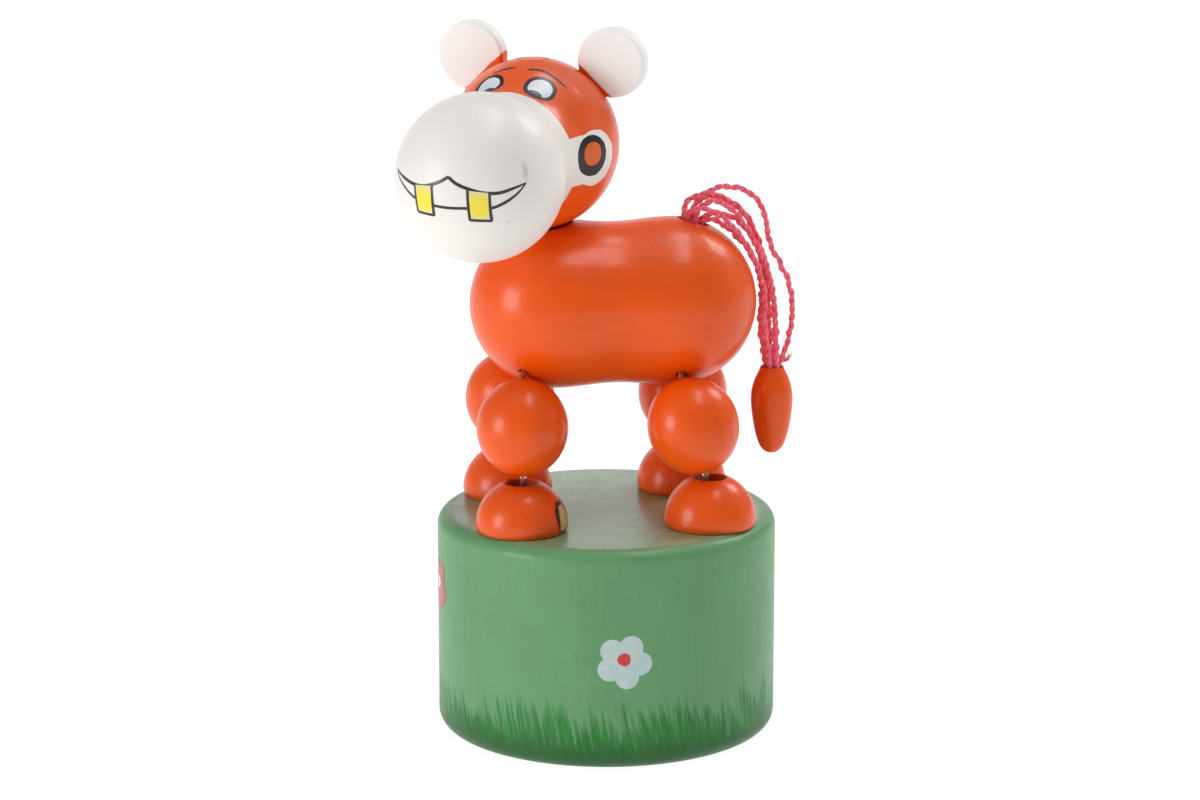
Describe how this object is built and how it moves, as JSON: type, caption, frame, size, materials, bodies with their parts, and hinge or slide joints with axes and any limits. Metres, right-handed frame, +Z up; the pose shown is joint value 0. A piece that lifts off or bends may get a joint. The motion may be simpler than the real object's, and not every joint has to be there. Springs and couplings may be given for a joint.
{
  "type": "thumb push puppet",
  "caption": "Wooden push puppet: a bead-legged animal held upright by tensioned lines on a turned base, whose spring-loaded thumb button slackens them.",
  "frame": {"origin": "on the base's axis in the plane of its bottom rim, 0.5 mm below the thumb button's face", "axes": "+Z up along the base's axis, -X towards the animal's front end, -Y to its left"},
  "size_m": [0.0604, 0.0555, 0.1047],
  "materials": {
    "green_paint": "satin painted",
    "orange_paint": "gloss painted",
    "white_paint": "gloss painted",
    "bare_wood": "sanded, unpainted",
    "spring_steel": "drawn wire",
    "clear_line": "clear nylon",
    "pink_yarn": "twisted yarn"
  },
  "bodies": {
    "base": {"base_shell": "green_paint", "return_spring": "spring_steel", "line_front_left": "clear_line", "line_front_right": "clear_line", "line_rear_left": "clear_line", "line_rear_right": "clear_line"},
    "button": {"thumb_button": "bare_wood", "line_knot_front_left": "clear_line", "line_knot_front_right": "clear_line", "line_knot_rear_left": "clear_line", "line_knot_rear_right": "clear_line"},
    "foot_front_left": {"foot_front_left": "orange_paint"},
    "foot_front_right": {"foot_front_right": "orange_paint"},
    "foot_rear_left": {"foot_rear_left": "orange_paint"},
    "foot_rear_right": {"foot_rear_right": "orange_paint"},
    "leg_front_left": {"leg_front_left": "orange_paint"},
    "leg_front_right": {"leg_front_right": "orange_paint"},
    "leg_rear_left": {"leg_rear_left": "orange_paint"},
    "leg_rear_right": {"leg_rear_right": "orange_paint"},
    "trunk": {"body_barrel": "orange_paint", "rear_knot": "clear_line", "tail_knot": "pink_yarn"},
    "neck": {"head_knot": "clear_line"},
    "head": {"head": "orange_paint", "head_plug": "orange_paint", "ear_left": "white_paint", "ear_right": "white_paint", "ear_pin_left": "bare_wood", "ear_pin_right": "bare_wood"},
    "tail": {"tail_thread_1": "pink_yarn", "tail_thread_2": "pink_yarn", "tail_thread_3": "pink_yarn", "tail_thread_4": "pink_yarn", "tail_thread_5": "pink_yarn", "tail_thread_6": "pink_yarn", "tail_thread_7": "pink_yarn"},
    "bead": {"tail_bead": "orange_paint", "bead_knot": "pink_yarn"}
  },
  "joints": [
    {"name": "button_press", "type": "slide", "parent": "base", "child": "button", "axis": [0, 0, 1], "range_m": [0, 0.007], "stiffness_N_per_m": 300, "springref_m": -0.0066, "deforming": ["return_spring", "line_front_left", "line_front_right", "line_rear_left", "line_rear_right"]},
    {"name": "foot_spin_front_left", "type": "hinge", "parent": "base", "child": "foot_front_left", "pos_m": [-0.0138, -0.0106, 0.0327], "axis": [0, 0, 1], "continuous": true},
    {"name": "foot_spin_front_right", "type": "hinge", "parent": "base", "child": "foot_front_right", "pos_m": [-0.0135, 0.0108, 0.0327], "axis": [0, 0, 1], "continuous": true},
    {"name": "foot_spin_rear_left", "type": "hinge", "parent": "base", "child": "foot_rear_left", "pos_m": [0.0138, -0.0111, 0.0327], "axis": [0, 0, 1], "continuous": true},
    {"name": "foot_spin_rear_right", "type": "hinge", "parent": "base", "child": "foot_rear_right", "pos_m": [0.0129, 0.0111, 0.0327], "axis": [0, 0, 1], "continuous": true},
    {"name": "leg_lean_front_left", "type": "hinge", "parent": "base", "child": "leg_front_left", "pos_m": [-0.0138, -0.0106, 0.0335], "axis": [0, -1, 0], "range_deg": [0, 26]},
    {"name": "leg_lean_front_right", "type": "hinge", "parent": "base", "child": "leg_front_right", "pos_m": [-0.0135, 0.0108, 0.0335], "axis": [0, -1, 0], "range_deg": [0, 26]},
    {"name": "leg_lean_rear_left", "type": "hinge", "parent": "base", "child": "leg_rear_left", "pos_m": [0.0138, -0.0111, 0.0335], "axis": [0, -1, 0], "range_deg": [0, 28.68]},
    {"name": "leg_lean_rear_right", "type": "hinge", "parent": "base", "child": "leg_rear_right", "pos_m": [0.0129, 0.0111, 0.0335], "axis": [0, -1, 0], "range_deg": [0, 38]},
    {"name": "trunk_sway", "type": "hinge", "parent": "leg_front_left", "child": "trunk", "pos_m": [-0.01355, -0.00975, 0.04775], "axis": [0, 1, 0], "range_deg": [0, 29.62]},
    {"name": "head_turn", "type": "hinge", "parent": "trunk", "child": "neck", "pos_m": [-0.01071, 0, 0.08764], "axis": [0, 0, 1], "range_deg": [-168, 40]},
    {"name": "head_nod", "type": "hinge", "parent": "neck", "child": "head", "pos_m": [-0.01071, 0, 0.08764], "axis": [0.8886, -0.4586, 0], "range_deg": [0, 14]},
    {"name": "tail_sway", "type": "hinge", "parent": "trunk", "child": "tail", "pos_m": [0.0128, 0, 0.0762], "axis": [1, 0, 0], "range_deg": [-28, 28]},
    {"name": "bead_swing", "type": "hinge", "parent": "tail", "child": "bead", "pos_m": [0.0247, 0, 0.0522], "axis": [0, -1, 0], "range_deg": [-8, 35], "deforming": ["tail_thread_1", "tail_thread_2", "tail_thread_3", "tail_thread_4", "tail_thread_5", "tail_thread_6", "tail_thread_7"]}
  ],
  "couplings": [
    {"joint": "leg_lean_front_left", "follows": "button_press", "rad_per_m": 64.826},
    {"joint": "leg_lean_front_right", "follows": "button_press", "rad_per_m": 64.826},
    {"joint": "leg_lean_rear_left", "follows": "button_press", "rad_per_m": 71.509},
    {"joint": "leg_lean_rear_right", "follows": "button_press", "rad_per_m": 94.746},
    {"joint": "trunk_sway", "follows": "button_press", "rad_per_m": 73.852},
    {"joint": "head_nod", "follows": "button_press", "rad_per_m": 34.907}
  ]
}
